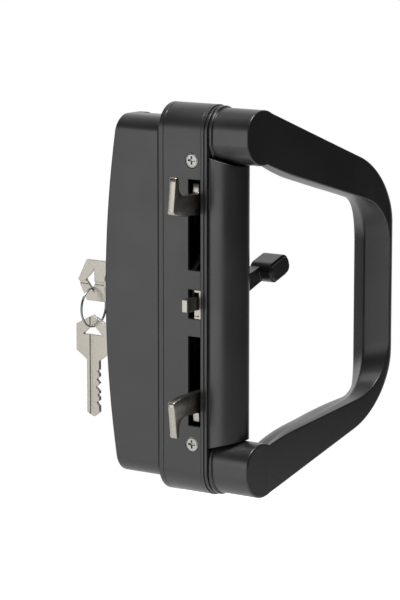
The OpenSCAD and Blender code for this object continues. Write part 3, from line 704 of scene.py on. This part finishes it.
# A hook plate with its crank pin, mirrored for the lower one
def buildHook(name, node, side, settings):
    data = bpy.data.curves.new(name, "CURVE")
    data.dimensions = "2D"
    data.fill_mode = "BOTH"
    x0, x1 = settings["sides"]
    edge = settings["edge"]
    data.extrude = ((x1 - x0) / 2 - edge) * mm
    data.bevel_depth = edge * mm
    data.bevel_resolution = settings["edgeSteps"]
    data.offset = -edge * mm
    halfTurn = settings["holeSteps"] / 2
    hole = [(settings["pinHole"] * math.cos(k * math.pi / halfTurn),
             settings["pinHole"] * math.sin(k * math.pi / halfTurn)) for k in range(settings["holeSteps"])]
    for outline in (hookOutline(settings), hole):
        spline = data.splines.new("POLY")
        spline.points.add(len(outline) - 1)
        spline.use_cyclic_u = True
        for point, (across, up) in zip(spline.points, outline):
            point.co = (across * mm, up * mm, 0, 1)
    maker = bpy.data.objects.new("maker", data)
    scene.collection.objects.link(maker)
    mesh = finishedMesh(maker)
    crank = settings["crank"]
    form = bmesh.new()
    form.from_mesh(mesh)
    reachX = (x0 + x1) / 2 - crank["from"]
    place = Matrix.Translation((crank["place"][0] * mm, crank["place"][1] * mm, -reachX / 2 * mm))
    bmesh.ops.create_cone(form, cap_ends=True, segments=crank["segments"], radius1=crank["radius"] * mm,
                          radius2=crank["radius"] * mm, depth=reachX * mm, matrix=place)
    # the drawing's axes become Y and Z, and its thickness runs along X
    pivotY, pivotZ = settings["pivot"]
    turn = Matrix(((0, 0, 1, (x0 + x1) / 2 * mm), (1, 0, 0, pivotY * mm), (0, side, 0, side * pivotZ * mm),
                   (0, 0, 0, 1)))
    form.transform(turn)
    bmesh.ops.remove_doubles(form, verts=form.verts, dist=mergeGap)
    bmesh.ops.recalc_face_normals(form, faces=form.faces)
    form.to_mesh(mesh)
    form.free()
    mesh.shade_smooth()
    mesh.set_sharp_from_angle(angle=math.radians(settings["sharp"]))
    addPiece(name, mesh, nickelUpright, node)


buildHook("upperHookPlate", "hook_upper", 1, hookSettings)
buildHook("lowerHookPlate", "hook_lower", -1, hookSettings)
print("hooks made")

wireSides = 14  # faces round a wire


# A group of geometry nodes that winds round wire about Z, rising from 0, with the steel finish on it
def windingNodes(name, steps):
    tree = bpy.data.node_groups.new(name, "GeometryNodeTree")
    tree.interface.new_socket(name="Geometry", in_out="OUTPUT", socket_type="NodeSocketGeometry")
    sockets = {}
    for label in ("Radius", "Wire", "Rise", "Turns"):
        socket = tree.interface.new_socket(name=label, in_out="INPUT", socket_type="NodeSocketFloat")
        sockets[label] = socket.identifier
    given = tree.nodes.new("NodeGroupInput")
    wound = addNode(tree, "GeometryNodeCurveSpiral", {"Resolution": steps},
                    {"Rotations": given.outputs["Turns"], "Start Radius": given.outputs["Radius"],
                     "End Radius": given.outputs["Radius"], "Height": given.outputs["Rise"]})
    wire = addNode(tree, "GeometryNodeCurvePrimitiveCircle", {"Resolution": wireSides},
                   {"Radius": given.outputs["Wire"]})
    skin = addNode(tree, "GeometryNodeCurveToMesh", {"Fill Caps": True},
                   {"Curve": wound.outputs[0], "Profile Curve": wire.outputs[0]})
    real = addNode(tree, "GeometryNodeRealizeInstances", None, {0: skin.outputs[0]})
    finish = addNode(tree, "GeometryNodeSetMaterial", {"Material": steel}, {"Geometry": real.outputs[0]})
    result = tree.nodes.new("NodeGroupOutput")
    tree.links.new(finish.outputs[0], result.inputs[0])
    return tree, sockets


# The plain mesh of one winding, with its sizes in metres
def woundWire(name, radius, wire, rise, turns, steps):
    tree, sockets = windingNodes(name, steps)
    maker = bpy.data.objects.new("maker", bpy.data.meshes.new("empty"))
    scene.collection.objects.link(maker)
    winding = maker.modifiers.new("winding", "NODES")
    winding.node_group = tree
    for label, value in (("Radius", radius), ("Wire", wire), ("Rise", rise), ("Turns", turns)):
        winding[sockets[label]] = value
    mesh = finishedMesh(maker)
    mesh.shade_smooth()
    return mesh


# Lowest and highest corner of a CAD node
def nodeBox(node):
    solid = frame["nodes"][node]
    corners = [solid.matrix_world @ vert.co for vert in solid.data.vertices]
    return (Vector([min(c[i] for c in corners) for i in range(3)]),
            Vector([max(c[i] for c in corners) for i in range(3)]))


# Split ring: spring wire wound twice, with its ends flat
ringSettings = {"wire": 0.42, "turns": 2.0, "pitch": 0.9, "steps": 48}


def splitRing(settings):
    low, high = nodeBox("key_ring")
    radius = (high.z - low.z - (high.x - low.x)) / 2
    rise = settings["pitch"] * (settings["turns"] - 1) * mm
    mesh = woundWire("splitRingWinding", radius, settings["wire"] * mm, rise, settings["turns"],
                     settings["steps"])
    mesh.transform(Matrix.Translation((low + high) / 2) @ Matrix.Rotation(math.pi / 2, 4, "Y")
                   @ Matrix.Translation((0, 0, -rise / 2)))
    addPiece("splitKeyRing", mesh, steel, "key_ring")


# Trigger's return spring, wound to the CAD spring's size and shown at rest; the real one flattens towards
# the back wall as the trigger goes in, which this mesh does not do
springSettings = {
    "wire": 0.3,
    "turns": 8.0,
    "steps": 24,
    "fixedEnd": (0, -2.0 * mm, 0),
    "travel": 5.5 * mm,
}


def triggerSpring(settings):
    low, high = nodeBox("trigger_spring")
    wire = settings["wire"] * mm
    radius = (high.z - low.z) / 2 - wire
    rise = high.y - low.y - 2 * wire
    mesh = woundWire("triggerSpringWinding", radius, wire, rise, settings["turns"], settings["steps"])
    middle = (low + high) / 2
    place = Matrix.Translation((middle.x, high.y - wire, middle.z))
    mesh.transform(place @ Matrix.Rotation(math.pi / 2, 4, "X"))
    piece = addPiece("triggerReturnSpring", mesh, steel, "trigger_spring")
    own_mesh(piece)


splitRing(ringSettings)
triggerSpring(springSettings)
print("split ring and spring wound")

for name, spec in softPieces.items():
    mesh = softEdged(spec["node"], spec["edge"], spec.get("reshape"), edgeSettings)
    addPiece(name, mesh, spec["finish"], spec["node"])
print("castings, cylinder and keys made")

# Pieces that stay as the CAD solids and only take a finish
plainFinishes = {
    steel: ["tailpiece", "lever_spindle", "hook_cam", "spindle_washer", "spindle_clip", "hook_pins",
            "link_upper", "link_lower"],
    zinc: ["handle_bolts", "pull_screws", "cover_screws"],
}
for finish, nodes in plainFinishes.items():
    for node in nodes:
        mesh = frame["nodes"][node].data
        mesh.materials.clear()
        mesh.materials.append(finish)
print("inner pieces finished")
